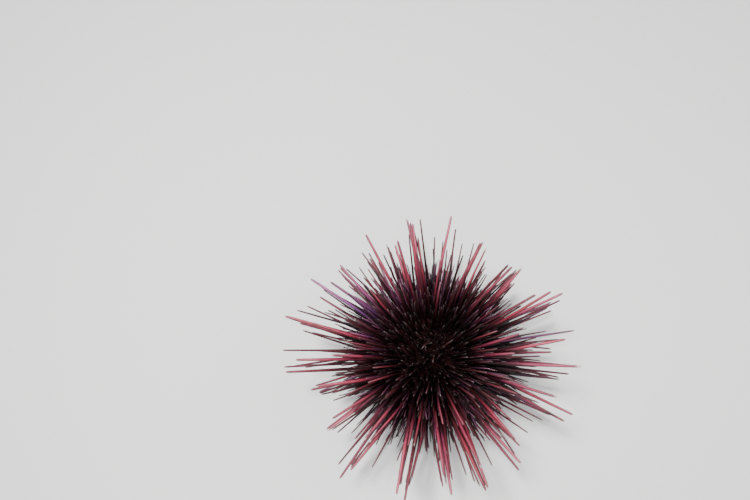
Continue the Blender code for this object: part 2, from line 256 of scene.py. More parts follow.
def roomRound(spine, others):
    # Least distance from a spine's side to those of the others
    roots = numpy.array([other.root for other in others])
    spans = numpy.array([other.direction * other.length for other in others])
    bases = numpy.array([other.baseRadius for other in others])
    tips = numpy.array([other.tipRadius for other in others])
    root = numpy.array(spine.root)
    span = numpy.array(spine.direction * spine.length)
    between = root - roots
    own = span @ span
    theirs = (spans * spans).sum(axis=1)
    mixed = spans @ span
    alongOwn = between @ span
    alongTheirs = (between * spans).sum(axis=1)
    spread = numpy.maximum(own * theirs - mixed * mixed, 1e-18)
    here = numpy.clip((mixed * alongTheirs - theirs * alongOwn) / spread, 0, 1)
    there = numpy.clip((mixed * here + alongTheirs) / theirs, 0, 1)
    here = numpy.clip((mixed * there - alongOwn) / own, 0, 1)
    apart = between + here[:, None] * span - there[:, None] * spans
    thickness = spine.baseRadius + (spine.tipRadius - spine.baseRadius) * here
    thickness += bases + (tips - bases) * there
    return (numpy.linalg.norm(apart, axis=1) - thickness).min()


def longSpine(owner, colatitude, bearing, draw):
    root = surfacePoint(colatitude, bearing)
    rise = numpy.interp(colatitude, lie["places"], lie["rises"])
    rise += swing(draw, lie["riseSpread"])
    length = numpy.interp(colatitude, lie["places"], lie["lengths"]) * mm
    low, high = lie["sheafPlaces"]
    alone = not (low < colatitude < high and draw.random() < lie["sheafShare"])
    if alone:
        towards = bearing + swing(draw, lie["loneSpread"])
        length *= draw.uniform(*lie["loneLengths"])
    else:
        sheafBearing, reach = nearestSheaf(bearing)
        turn = turnBetween(bearing, sheafBearing) * lie["sheafPull"]
        turn += swing(draw, lie["sheafSpread"])
        way = heading(bearing + turn) * reach * mm - Vector((root.x, root.y, 0))
        towards = bearingOf(way)
        longest = length * lie["sheafStretch"]
        length = min(longest, way.length / math.cos(math.radians(rise)))
        length *= draw.uniform(*lie["sheafLengths"])
    base = lie["baseRadius"] + lie["baseGrowth"] * length
    return Spine(owner, root, heading(towards, rise), length, base, lie["tipRadius"], alone)


def shortSpine(owner, colatitude, bearing, draw):
    way = wayOut(colatitude, bearing, draw, lie["shortSpread"])
    length = draw.uniform(*lie["shortLengths"])
    base, tip = lie["shortBaseRadius"], lie["shortTipRadius"]
    return Spine(owner, surfacePoint(colatitude, bearing), way, length, base, tip)


def keptOffFloor(spine):
    rise = math.degrees(math.asin(spine.direction.z))
    if spine.tip().z < lie["tipClearance"]:
        onFloor = rise < lie["footRise"]
        end = -lie["footExcess"] if onFloor else lie["tipClearance"]
        spine.length = (end - spine.root.z) / spine.direction.z
    return spine


def discSpines():
    made = []
    for bearing in plateBearings():
        for turn in lie["discTurns"]:
            root = heading(bearing + turn) * lie["discCircle"] + Vector((0, 0, rimHeight))
            way = heading(bearing + turn, lie["discRise"])
            base, tip = lie["shortBaseRadius"], lie["shortTipRadius"]
            made.append(Spine("apical_disc", root, way, lie["discLength"], base, tip))
    return made


def spinePlaces(draw):
    longPlaces, shortPlaces = [], []
    rings = ringColatitudes()
    low, high = lie["shortPlaces"]
    for ring, colatitude in enumerate(rings):
        between = (colatitude + rings[min(ring + 1, len(rings) - 1)]) / 2
        for name, bearing, width in fieldList():
            for column in columnBearings(colatitude, ring, bearing, width):
                longPlaces.append((name, colatitude, column))
            for column in columnBearings(between, ring, bearing, width):
                if low < between < high and draw.random() < lie["shortShare"]:
                    shortPlaces.append((name, between, column))
    longPlaces.sort(key=lambda place: abs(place[1] - lie["firstPlaced"]))
    return longPlaces, shortPlaces


def allSpines():
    draw = random.Random(lie["seed"])
    made = discSpines()
    freeTries, shorterTries = lie["freeTries"], lie["shorterTries"]
    for places, wanted in zip(spinePlaces(draw), (longSpine, shortSpine)):
        for place in places:
            for attempt in range(freeTries + shorterTries):
                spine = keptOffFloor(wanted(*place, draw))
                if attempt >= freeTries:
                    spine.length *= 1 - (attempt - freeTries + 1) / (shorterTries + 2)
                if roomRound(spine, made) > lie["gap"]:
                    made.append(spine)
                    break
    half = lie["halfSpan"]
    for side in map(Vector, ((1, 0, 0), (-1, 0, 0), (0, 1, 0), (0, -1, 0))):
        farthest = max(made, key=lambda spine: spine.tip().dot(side))
        for spine in made:
            if spine is farthest or spine.tip().dot(side) > half:
                spine.length = (half - spine.root.dot(side)) / spine.direction.dot(side)
    return made


# Two finer kinds, which the solids leave out, stand round each long spine
finerKinds = {
    "medium": {
        "seed": 23,
        "perLongSpine": 3,
        "places": (15, 122),     # colatitudes between which they stand
        "distance": (3.2 * mm, 4.4 * mm),
        "lengths": (14 * mm, 36 * mm),
        "baseRadius": 0.82 * mm,
        "tipRadius": 0.4 * mm,
        "spread": 9,             # degrees, of their direction about the way they lie
        "followsLong": 0.65,     # 1 lies as the long spine does, 0 square to the surface
    },
    "fine": {
        "seed": 29,
        "perLongSpine": 6,
        "places": (12, 156),
        "distance": (2.6 * mm, 4.6 * mm),
        "lengths": (6 * mm, 16 * mm),
        "baseRadius": 0.42 * mm,
        "tipRadius": 0.16 * mm,
        "spread": 20,
        "followsLong": 0.2,
    },
}
finerGirth = (0.8, 0.4)          # of the base's radius: the shortest spine's, and what length adds


def turnedBy(way, turn):
    side = heading(turn)
    return Vector((way.x * side.x - way.y * side.y, way.x * side.y + way.y * side.x, way.z))


def finerSpines(kind, longOnes):
    look = finerKinds[kind]
    draw = random.Random(look["seed"])
    low, high = look["places"]
    shortest, longest = look["lengths"]
    thinnest, thicker = finerGirth
    made = []
    for spine in longOnes:
        radius, bearing = reachOf(spine.root), bearingOf(spine.root)
        colatitude = colatitudeOf(spine.root.z)
        degree = degreeLength(colatitude)
        start = draw.uniform(0, 360)
        for number in range(look["perLongSpine"]):
            angle = math.radians(start + number * 360 / look["perLongSpine"])
            distance = draw.uniform(*look["distance"])
            there = colatitude + distance * math.cos(angle) / degree
            turned = bearing + math.degrees(distance * math.sin(angle) / radius)
            turn, tilt = swing(draw, look["spread"]), swing(draw, look["spread"])
            share = draw.random()
            if not low < there < high:
                continue
            square = heading(turned + turn, surfaceRise(there) + tilt)
            way = square.lerp(turnedBy(spine.direction, turn), look["followsLong"]).normalized()
            root = surfacePoint(there, turned)
            length = shortest + (longest - shortest) * share
            base = look["baseRadius"] * (thinnest + thicker * share)
            made.append(keptOffFloor(Spine(spine.owner, root, way, length, base, look["tipRadius"])))
    return made


# Finer spines on the plates at the top, which lean every way over the middle
discFiner = {
    "circle": (4.9 * mm, 10.6 * mm),
    "lift": 0.3 * mm,
    "fine": {"seed": 31, "count": 46, "lengths": (4 * mm, 12 * mm), "rises": (52, 88), "spread": 40},
    "medium": {
        "seed": 37, "count": 24, "lengths": (13 * mm, 27 * mm), "rises": (44, 84), "spread": 170,
    },
}


def discFinerSpines(kind):
    look, thickness = discFiner[kind], finerKinds[kind]
    draw = random.Random(look["seed"])
    made = []
    for number in range(look["count"]):
        bearing = number * goldenTurn
        root = heading(bearing) * draw.uniform(*discFiner["circle"])
        root.z = rimHeight + discFiner["lift"]
        turn = swing(draw, look["spread"])
        way = heading(bearing + turn, draw.uniform(*look["rises"]))
        length = draw.uniform(*look["lengths"])
        base, tip = thickness["baseRadius"], thickness["tipRadius"]
        made.append(Spine("apical_disc", root, way, length, base, tip))
    return made


# Finer spines right up to the skin round the mouth
rimFiner = {
    "seed": 43,
    "count": 150,
    "colatitudes": (149, 164.6),
    "lengths": (5 * mm, 11 * mm),
    "baseRadius": 0.6 * mm,
    "tipRadius": 0.22 * mm,
    "spread": 16,
}


def rimFinerSpines():
    look = rimFiner
    draw = random.Random(look["seed"])
    made = []
    for number in range(look["count"]):
        bearing = number * goldenTurn
        colatitude = draw.uniform(*look["colatitudes"])
        way = wayOut(colatitude, bearing, draw, look["spread"])
        length = draw.uniform(*look["lengths"])
        owner, root = fieldAt(bearing)[0], surfacePoint(colatitude, bearing)
        made.append(Spine(owner, root, way, length, look["baseRadius"], look["tipRadius"]))
    return made


# Materials. In each finish, gloss is the shader's roughness, specular level, coat and coat
# roughness, bump its strength and depth, and a noise its scale, detail and levels.
def newMaterial(name, roughness, specular=0.5, coat=0.0, coatRoughness=0.2):
    made = bpy.data.materials.new(name)
    made.use_nodes = True
    sockets = made.node_tree.nodes["Principled BSDF"].inputs
    sockets["Roughness"].default_value = roughness
    sockets["Specular IOR Level"].default_value = specular
    sockets["Coat Weight"].default_value = coat
    sockets["Coat Roughness"].default_value = coatRoughness
    return made


def addNode(material, kind, inputs, **settings):
    # Each input is set to a value, or linked where another node's socket is given
    tree = material.node_tree
    made = tree.nodes.new("ShaderNode" + kind)
    for name, value in settings.items():
        setattr(made, name, value)
    for name, value in inputs.items():
        socket = made.inputs[name]
        if isinstance(value, bpy.types.NodeSocket):
            tree.links.new(value, socket)
        else:
            socket.default_value = (*value, 1) if socket.type == "RGBA" else value
    return made


def ramp(material, factor, stops):
    made = addNode(material, "ValToRGB", {"Fac": factor})
    elements = made.color_ramp.elements
    while len(elements) < len(stops):
        elements.new(0.5)
    for element, (position, colour) in zip(elements, stops):
        element.position = position
        element.color = (*colour, 1)
    return made.outputs["Color"]


def attribute(material, name, output="Fac"):
    return addNode(material, "Attribute", {}, attribute_name=name).outputs[output]


def objectPlace(material):
    return addNode(material, "TexCoord", {}).outputs["Object"]


def partsOf(material, place):
    return addNode(material, "SeparateXYZ", {"Vector": place}).outputs


def noiseFactor(material, scale, detail, place=None):
    inputs = {"Vector": place or objectPlace(material), "Scale": scale, "Detail": detail}
    return addNode(material, "TexNoise", inputs).outputs["Fac"]


def mapped(material, value, levels):
    # From between the first two levels to between the last two, or to between 0 and 1
    inputs = dict(zip(("From Min", "From Max", "To Min", "To Max"), levels))
    return addNode(material, "MapRange", {"Value": value, **inputs}).outputs["Result"]


def patches(material, scale, detail, *levels):
    return mapped(material, noiseFactor(material, scale, detail), levels)


def mixColours(material, factor, first, second, blend="MIX"):
    # A Mix node's colours are its inputs 6 and 7, and its output 2
    inputs = {"Factor": factor, 6: first, 7: second}
    return addNode(material, "Mix", inputs, data_type="RGBA", blend_type=blend).outputs[2]


def calculated(material, operation, *values):
    return addNode(material, "Math", dict(enumerate(values)), operation=operation).outputs["Value"]


def dressed(material, colour, height, bump):
    tree = material.node_tree
    shader = tree.nodes["Principled BSDF"]
    relief = addNode(material, "Bump", {"Height": height, "Strength": bump[0], "Distance": bump[1]})
    tree.links.new(colour, shader.inputs["Base Color"])
    tree.links.new(relief.outputs["Normal"], shader.inputs["Normal"])
    return material


paleFrom = 0.955                 # along a spine: where its pale tip starts
spineFinish = {
    # Each ramp runs from root to tip. Dark near the root: partly the spines' own colour, partly painted
    # shade of the dense spines there; pale at a worn tip
    "redStops": (
        (0.00, (0.050, 0.006, 0.005)), (0.12, (0.062, 0.007, 0.007)),
        (0.32, (0.120, 0.010, 0.019)), (0.52, (0.335, 0.032, 0.052)),
        (0.80, (0.395, 0.062, 0.086)), (paleFrom, (0.300, 0.076, 0.092)),
        (1.00, (0.700, 0.600, 0.550)),
    ),
    "violetStops": (
        (0.00, (0.042, 0.006, 0.008)), (0.12, (0.048, 0.008, 0.018)),
        (0.32, (0.066, 0.020, 0.078)), (0.52, (0.168, 0.052, 0.150)),
        (0.80, (0.300, 0.092, 0.192)), (paleFrom, (0.255, 0.110, 0.175)),
        (1.00, (0.680, 0.600, 0.600)),
    ),
    # Dull spines: greyish pink towards the tip, partly their own colour and partly a painted highlight
    "dullStops": (
        (0.00, (0.050, 0.007, 0.005)), (0.30, (0.064, 0.010, 0.008)),
        (0.55, (0.086, 0.018, 0.018)), (0.75, (0.140, 0.044, 0.046)),
        (paleFrom, (0.310, 0.225, 0.225)), (1.00, (0.520, 0.450, 0.430)),
    ),
    "paintedLightStops": (              # painted shade on the lower side of a spine, round to a painted highlight on its upper side
        (0.00, (0.34, 0.24, 0.26)), (0.55, (0.36, 0.20, 0.22)), (0.75, (0.60, 0.46, 0.49)),
        (0.91, (1.00, 0.95, 0.95)), (1.00, (1.50, 2.00, 2.00)),
    ),
    "ribs": 28,
    "streakStretch": 32,         # of the streaks' noise along a spine, for each metre
    "streaks": (4.5, 4),
    "streakLevels": (0.34, 0.66, 0.62, 1.2),
    "mottle": (260, 3, 0.3, 0.7, 0.86, 1.12),
    "gloss": (0.42, 0.36),
    "bump": (0.5, 0.2 * mm),
}


def spineMaterial():
    finish = spineFinish
    made = newMaterial("crimson_spines", *finish["gloss"])
    along = attribute(made, "along")
    red, violet, dull = [ramp(made, along, finish[hue + "Stops"]) for hue in ("red", "violet", "dull")]
    colour = mixColours(made, attribute(made, "tone"), red, violet)
    colour = mixColours(made, attribute(made, "dull"), colour, dull)
    # On a spine's own coordinates the streaks run along it
    own = attribute(made, "own", "Vector")
    streak = noiseFactor(made, *finish["streaks"], own)
    # Painted light: each spine is lighter along its upper side, with a painted highlight line there, and
    # has painted shade on its lower side
    upper = mapped(made, attribute(made, "upper"), (-1, 1))
    for level in (
        mapped(made, streak, finish["streakLevels"]), patches(made, *finish["mottle"]),
        attribute(made, "shade"), ramp(made, upper, finish["paintedLightStops"]),
    ):
        colour = mixColours(made, 1, colour, level, "MULTIPLY")
    return dressed(made, colour, ribHeight(made, own, streak), finish["bump"])


def ribHeight(material, own, streak):
    # Fine ribs round a spine, worn unevenly
    parts = partsOf(material, own)
    angle = calculated(material, "ARCTAN2", parts["Y"], parts["X"])
    turns = calculated(material, "MULTIPLY", angle, spineFinish["ribs"])
    return calculated(material, "MULTIPLY", calculated(material, "SINE", turns), streak)


skinFinish = {
    "patches": (130, 5, 0.35, 0.65),
    # On top near black: partly the skin's own colour, partly painted shade under the dense spines
    "top": ((0.0040, 0.0011, 0.0010), (0.0072, 0.0019, 0.0017)),
    "underside": ((0.050, 0.010, 0.016), (0.150, 0.034, 0.045)),
    "specks": (900, 3, 0.55, 0.72, 0, 0.55),
    "speckColour": (0.012, 0.003, 0.003),
    "turnsDark": (20 * mm, 65 * mm),    # heights between which it turns dark, partly painted shade
    "grain": (1100, 5),
    "gloss": (0.8, 0.03),
    "bump": (0.6, 0.4 * mm),
}


def skinMaterial():
    finish = skinFinish
    made = newMaterial("wet_skin", *finish["gloss"])
    patch = patches(made, *finish["patches"])
    top = mixColours(made, patch, *finish["top"])
    top = mixColours(made, patches(made, *finish["specks"]), top, finish["speckColour"])
    underside = mixColours(made, patch, *finish["underside"])
    # Darker towards the top: partly the skin's own colour, partly painted shade
    height = mapped(made, partsOf(made, objectPlace(made))["Z"], finish["turnsDark"])
    colour = mixColours(made, height, underside, top)
    return dressed(made, colour, noiseFactor(made, *finish["grain"]), finish["bump"])


mouthFinish = {
    "cellScale": 620,
    "cellLevels": (0.1, 0.6),
    "cellColours": ((0.200, 0.062, 0.070), (0.075, 0.014, 0.022)),
    "patches": (160, 4, 0.35, 0.65, 0, 0.6),
    "patchColour": (0.060, 0.008, 0.018),
    "gloss": (0.45, 0.4, 0.2, 0.25),
    "bump": (0.5, 0.4 * mm),
}


def mouthMaterial():
    finish = mouthFinish
    made = newMaterial("mouth_skin", *finish["gloss"])
    inputs = {"Vector": objectPlace(made), "Scale": finish["cellScale"]}
    cells = addNode(made, "TexVoronoi", inputs).outputs["Distance"]
    colour = mixColours(made, mapped(made, cells, finish["cellLevels"]), *finish["cellColours"])
    patch = patches(made, *finish["patches"])
    colour = mixColours(made, patch, colour, finish["patchColour"])
    return dressed(made, colour, cells, finish["bump"])


plateFinish = {
    "patches": (1500, 4, 0.35, 0.7),
    "colours": ((0.0030, 0.0011, 0.0015), (0.0100, 0.0032, 0.0040)),
    "grain": (2400, 3),
    "gloss": (0.8, 0.03),
    "bump": (0.6, 0.3 * mm),
}
toothFinish = {
    "patches": (900, 4, 0.3, 0.7),
    "colours": ((0.50, 0.42, 0.34), (0.74, 0.68, 0.60)),
    "grain": (1400, 3),
    "gloss": (0.3, 0.5, 0.3, 0.15),
    "bump": (0.2, 0.2 * mm),
}


def limeMaterial(name, finish):
    made = newMaterial(name, *finish["gloss"])
    colour = mixColours(made, patches(made, *finish["patches"]), *finish["colours"])
    return dressed(made, colour, noiseFactor(made, *finish["grain"]), finish["bump"])


tubeFootFinish = {
    "stops": (
        (0.0, (0.008, 0.002, 0.004)), (0.6, (0.028, 0.005, 0.010)),
        (0.9, (0.040, 0.009, 0.015)), (1.0, (0.060, 0.018, 0.024)),
    ),
    "grain": (2200, 2),
    "gloss": (0.55, 0.3),
    "bump": (0.3, 0.2 * mm),
}


def tubeFootMaterial():
    finish = tubeFootFinish
    made = newMaterial("tube_feet", *finish["gloss"])
    colour = ramp(made, attribute(made, "along"), finish["stops"])
    return dressed(made, colour, noiseFactor(made, *finish["grain"]), finish["bump"])


# Turning shapes into pieces
def meshFrom(shape, name):
    made = bpy.data.meshes.new(name)
    shape.to_mesh(made)
    shape.free()
    return made


def placed(name, content):
    made = bpy.data.objects.new(name, content)
    bpy.context.scene.collection.objects.link(made)
    return made


def pieceFrom(shape, name, material, sharpAngle=None):
    mesh = meshFrom(shape, name)
    mesh.materials.append(material)
    mesh.shade_smooth()
    if sharpAngle:
        mesh.set_sharp_from_angle(angle=math.radians(sharpAngle))
    made = placed(name, mesh)
    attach(made, "root")
    return made


def turnedShape(points, steps):
    made = bmesh.new()
    corners = [made.verts.new((radius, 0, height)) for radius, height in points]
    edges = [made.edges.new(pair) for pair in zip(corners, corners[1:])]
    bmesh.ops.spin(
        made, geom=corners + edges, axis=(0, 0, 1), angle=math.tau, steps=steps, use_merge=True,
    )
    bmesh.ops.remove_doubles(made, verts=made.verts, dist=0.01 * mm)
    bmesh.ops.recalc_face_normals(made, faces=made.faces)
    return made


def addCone(shape, sides, bottom, top, depth, matrix):
    made = bmesh.ops.create_cone(
        shape, cap_ends=True, segments=sides, radius1=bottom, radius2=top, depth=depth, matrix=matrix,
    )
    return list({edge for vert in made["verts"] for edge in vert.link_edges})


def addTube(shape, sides, top, cuts):
    # A closed tube along +Z, 1 long and with a foot of radius 1, cut across evenly
    addCone(shape, sides, 1, top, 1, Matrix.Translation((0, 0, 0.5)))
    upright = [edge for edge in shape.edges if abs(edge.verts[0].co.z - edge.verts[1].co.z) > 0.5]
    bmesh.ops.subdivide_edges(shape, edges=upright, cuts=cuts)


def roundEdges(shape, edges, width, segments):
    bmesh.ops.bevel(
        shape, geom=edges, offset=width, segments=segments, profile=0.5, affect="EDGES", material=-1,
    )


def wrinkle(place, scale):
    return noise.fractal(place * scale, 1.0, 2.0, 3)


# The map for baking: the middle of the top is in its middle, and that of the underside all round
bakeRadius = 0.48


def stamped(piece, template, root, patch):
    # Adds the template, as a patch of that width and length at the root's place on the map
    first, firstFace = len(piece.verts), len(piece.faces)
    piece.from_mesh(template)
    piece.verts.ensure_lookup_table()
    piece.faces.ensure_lookup_table()
    direction = root - Vector((0, 0, test["waistHeight"]))
    colatitude = math.degrees(math.acos(max(-1, min(1, direction.normalized().z))))
    bearing = math.atan2(direction.y, direction.x)
    radius = bakeRadius * colatitude / 180
    middle = Vector((0.5 + radius * math.cos(bearing), 0.5 + radius * math.sin(bearing)))
    across = Vector((-math.sin(bearing), math.cos(bearing)))
    outward = Vector((math.cos(bearing), math.sin(bearing)))
    unwrapped = piece.loops.layers.uv["OFBake"]
    for face in piece.faces[firstFace:]:
        for loop in face.loops:
            s, t = loop[unwrapped].uv
            uv = middle + across * (s - 0.5) * patch[0]
            loop[unwrapped].uv = uv + outward * (t - 0.5) * patch[1]
    return piece.verts[first:]


# A spine's own shape: stations along it, and its thickness there as a share of the base's
spineShape = {
    "sides": 10,
    "stations": (0, 0.03, 0.055, 0.5, 0.965, 0.99, 1),
    "collar": (1.6, 1.3, 0.96),
    "taper": 0.7,
    "leastTip": 0.5,             # of the tip's radius, as a share of the base's
    "tipRound": (0.8, 0.42),
    "bend": 0.012,
    "sink": 0.4 * mm,
    "patch": (0.003, 0.012),     # its width and length on the map for baking
}
finerShape = {
    "sides": 6,
    "stations": (0, 0.06, 0.12, 0.4, 0.7, 0.95, 1),
    "collar": (1.6, 1.1, 1.0),
    "taper": 0.7,
    "leastTip": 0.36,
    "tipRound": (0.35,),
    "bend": 0.03,
    "sink": 0.4 * mm,
    "patch": (0.003, 0.006),
}


def spineTemplate(shape):
    # A closed unit tube along +Z with a ring of vertices at each station
    made = bmesh.new()
    last = len(shape["stations"]) - 1
    addTube(made, shape["sides"], 1, last - 1)
    station = made.verts.layers.float.new("station")
    for vert in made.verts:
        vert[station] = round(vert.co.z * last)
    unwrapped = made.loops.layers.uv.new("OFBake")
    for face in made.faces:
        angles = [math.atan2(loop.vert.co.y, loop.vert.co.x) / math.tau % 1 for loop in face.loops]
        isCap = abs(face.normal.z) > 0.9
        wraps = max(angles) - min(angles) > 0.5 and not isCap
        for loop, angle in zip(face.loops, angles):
            if wraps and angle < 0.5:
                angle += 1
            if isCap:
                angle = 0.5 + 0.4 * loop.vert.co.x
            loop[unwrapped].uv = (angle, loop.vert.co.z)
    return meshFrom(made, "spine_template")


def thicknessAt(station, shape, spine):
    # Radius of a spine at one of its stations
    stations, collar, tipRound = shape["stations"], shape["collar"], shape["tipRound"]
    t = stations[station]
    tip = max(spine.tipRadius, spine.baseRadius * shape["leastTip"])
    shaft = tip + (spine.baseRadius * collar[-1] - tip) * (1 - t) ** shape["taper"]
    if station < len(collar):
        return spine.baseRadius * collar[station]
    fromEnd = len(stations) - 1 - station
    if fromEnd < len(tipRound):
        return shaft * tipRound[-1 - fromEnd]
    return shaft


def addSpine(piece, template, shape, spine, kind, draw):
    look = spineLook(kind, spine, draw)
    # One of the template's corners is turned to the spine's upper side, where its painted highlight runs
    upward = (Vector((0, 0, 1)) - spine.direction * spine.direction.z).normalized()
    turn = Matrix((upward.cross(spine.direction), upward, spine.direction)).transposed()
    sideways = turn @ heading(draw.uniform(0, 360))
    bend = shape["bend"] * draw.uniform(-1, 1) * spine.length
    radii = [thicknessAt(n, shape, spine) * look["girth"] for n in range(len(shape["stations"]))]
    sink = shape["sink"]
    start = draw.uniform(0, 100)
    corners = stamped(piece, template, spine.root, shape["patch"])
    layers, own = piece.verts.layers.float, piece.verts.layers.float_vector["own"]
    station, along, upper = layers["station"], layers["along"], layers["upper"]
    for vert in corners:
        number = int(round(vert[station]))
        t = shape["stations"][number]
        vert[own] = (vert.co.x, vert.co.y, start + t * spine.length * spineFinish["streakStretch"])
        # From -1 on the spine's lower side to 1 on its upper side: sets its painted shade and highlight
        vert[upper] = vert.co.y
        vert[along] = t * look["reachesPale"]
        local = Vector((vert.co.x * radii[number], vert.co.y * radii[number], 0))
        place = spine.root + spine.direction * (t * (spine.length + sink) - sink)
        place += sideways * bend * t * (1 - t) * 4 + turn @ local
        place.z = max(place.z, 0)
        vert.co = place
        vert[layers["tone"]] = look["tone"]
        vert[layers["dull"]] = look["dull"]
        # Painted shade towards the axis, times the spine's own shade
        vert[layers["shade"]] = shadeAt(place, t, look)


def emptyPiece():
    made = bmesh.new()
    for name in ("station", "along", "upper", "tone", "dull", "shade"):
        made.verts.layers.float.new(name)
    made.verts.layers.float_vector.new("own")
    made.loops.layers.uv.new("OFBake")
    return made


# Colours: long outer spines are bright, those over the core and the finer ones dull and dark.
# The darkness over the core and under the upper spines is painted shade, and the brightest
# spines of each sheaf are partly painted light
tones = {
    "seed": 5,
    # Bearing in degrees where violet spines gather, how far round, their share there and elsewhere
    "longViolet": (152, 15, 0.9, 0.06),
    "finerViolet": (122, 60, 0.95, 0.5),
    "violetTone": (0.6, 1),      # on the way from red, 0, to violet, 1
    "redTone": (0, 0.25),
    "brightReach": (26 * mm, 68 * mm),    # of a tip: from dull to bright; dull near the axis is painted shade of the core
    "aloneDull": (0.1, 0.75),
    "sheafDull": 0.26,           # share of dull spines in the sheaves
    "finerDull": (0.35, 1.0),
    "violetFinerDull": (0.0, 0.55),
    "coreWidth": (30 * mm, 102 * mm),     # from the axis: where the shade lifts
    "coreSpread": (0.5, 1.0),    # of that, for each long spine
    "leadSpread": (0.26, 0.5),
    "coreShade": 0.26,
    "coreHeights": (20 * mm, 42 * mm),    # between which the shade sets in
    "tipLift": (0.3, 0.75),      # along a long spine over the core: where its shade lifts
    "outerShade": 0.42,          # the least shade far out
    "outerWidth": (62 * mm, 100 * mm),    # from the axis: where that sets in
    "tipShade": 1,
    "discTipShade": 0.35,
    "shadeRange": (0.15, 1.0),
    "shadeSkew": 2.0,            # above 1: more of the darker ones
    "betweenShade": 0.52,        # of every second long spine round the urchin: painted shade that parts neighbours
    "leadTurn": 2.6,             # degrees: the leading spines of a sheaf end that near its bearing
    "leadReach": 0.84,           # and at least that share of its reach out
    "leadShade": (0.98, 1.25),
    "leadLevels": (1, 0.6, 0.74),
    "upperRoots": (26, 56),      # colatitudes of the roots of those that lead nearest the core
    "underneath": (62, 96),      # colatitudes of the roots between which spines get darker: painted shade under the upper ones
    "underneathShade": 0.6,
    "violetLift": 1.5,           # of the shade of violet finer spines
    "violetSpread": (0.72, 0.85),    # where violet ones gather, and elsewhere
    "leadGirth": 1.14,
    "brightGirth": 0.84,
    "dullGirth": 0.66,
    "paleTips": 0.3,             # share of spines with one
}


def smooth(low, high, value):
    t = min(max((value - low) / (high - low), 0), 1)
    return t * t * (3 - 2 * t)


def shadeAt(place, t, look):
    # Painted shade: spines are darker towards the axis, where the dense core is in shade, but for the
    # ends of the long ones
    fromAxis = reachOf(place)
    lift = max(
        smooth(*tones["coreWidth"], fromAxis / look["coreSpread"]),
        smooth(*tones["tipLift"], t) * look["tipShade"], 1 - smooth(*tones["coreHeights"], place.z),
    )
    least = tones["outerShade"] * smooth(*tones["outerWidth"], fromAxis)
    return max(look["shade"], least) * (tones["coreShade"] + (1 - tones["coreShade"]) * lift)


def leadingSpines(longOnes):
    # Of each sheaf: the highest and the farthest spine that it ends in, and the farthest of
    # those that start near the core. They are painted brightest, partly as painted light on the
    # top of each sheaf and partly as a brighter tone of their own
    ending, upper = {}, {}
    low, high = tones["upperRoots"]
    for spine in longOnes:
        bearing = tipBearing(spine)
        sheafBearing, reach = nearestSheaf(bearing)
        if abs(turnBetween(bearing, sheafBearing)) > tones["leadTurn"]:
            continue
        if tipReach(spine) > tones["leadReach"] * reach * mm:
            ending.setdefault(sheafBearing, []).append(spine)
        if low < colatitudeOf(spine.root.z) < high:
            upper.setdefault(sheafBearing, []).append(spine)
    highest = [max(group, key=lambda spine: spine.tip().z) for group in ending.values()]
    farthest = [max(group, key=tipReach) for group in ending.values()]
    nearest = [max(group, key=tipReach) for group in upper.values()]
    return highest, farthest, nearest


def spineLook(kind, spine, draw):
    isLong = kind == "long"
    middle, width, there, elsewhere = tones["longViolet" if isLong else "finerViolet"]
    away = abs(turnBetween(bearingOf(spine.root), middle)) / width
    if spine.leading:
        elsewhere = 0            # only where the violet ones gather
    isViolet = draw.random() < elsewhere + (there - elsewhere) * max(1 - away, 0)
    tone = draw.uniform(*tones["violetTone" if isViolet else "redTone"])
    # Painted shade: spines that end near the axis are dull and dark
    dull = 1 - smooth(*tones["brightReach"], tipReach(spine))
    darkest, lightest = tones["shadeRange"]
    shade = darkest + (lightest - darkest) * draw.random() ** tones["shadeSkew"]
    # Painted shade on spines rooted low, under the upper ones
    below = smooth(*tones["underneath"], colatitudeOf(spine.root.z))
    shade *= 1 - (1 - tones["underneathShade"]) * below
    spread = 1
    if not isLong:
        dull = max(dull, draw.uniform(*tones["violetFinerDull" if isViolet else "finerDull"]))
        if isViolet:
            shade *= tones["violetLift"]
            spread = tones["violetSpread"][away > 1]
    elif spine.leading:
        # Partly painted light: the leading spines are painted brightest
        shade = draw.uniform(*tones["leadShade"]) * spine.leading
        spread = draw.uniform(*tones["leadSpread"])
    else:
        spread = draw.uniform(*tones["coreSpread"])
        # Painted shade on every second spine, to part it from its neighbours
        shade *= tones["betweenShade"] if spine.between else 1
        if spine.alone or draw.random() < tones["sheafDull"]:
            dull = max(dull, draw.uniform(*tones["aloneDull"]))
    girth, tipShade = 1, 0
    if isLong:
        brightGirth = tones["leadGirth" if spine.leading else "brightGirth"]
        girth = brightGirth + (tones["dullGirth"] - brightGirth) * dull
        tipShade = tones["tipShade"]
    if spine.owner == "apical_disc":
        tipShade = tones["discTipShade"]
    return {
        "tone": tone,
        "dull": dull,
        "shade": shade,
        "coreSpread": spread,
        "tipShade": tipShade,
        "girth": girth,
        "reachesPale": 1 if draw.random() < tones["paleTips"] else paleFrom,
    }


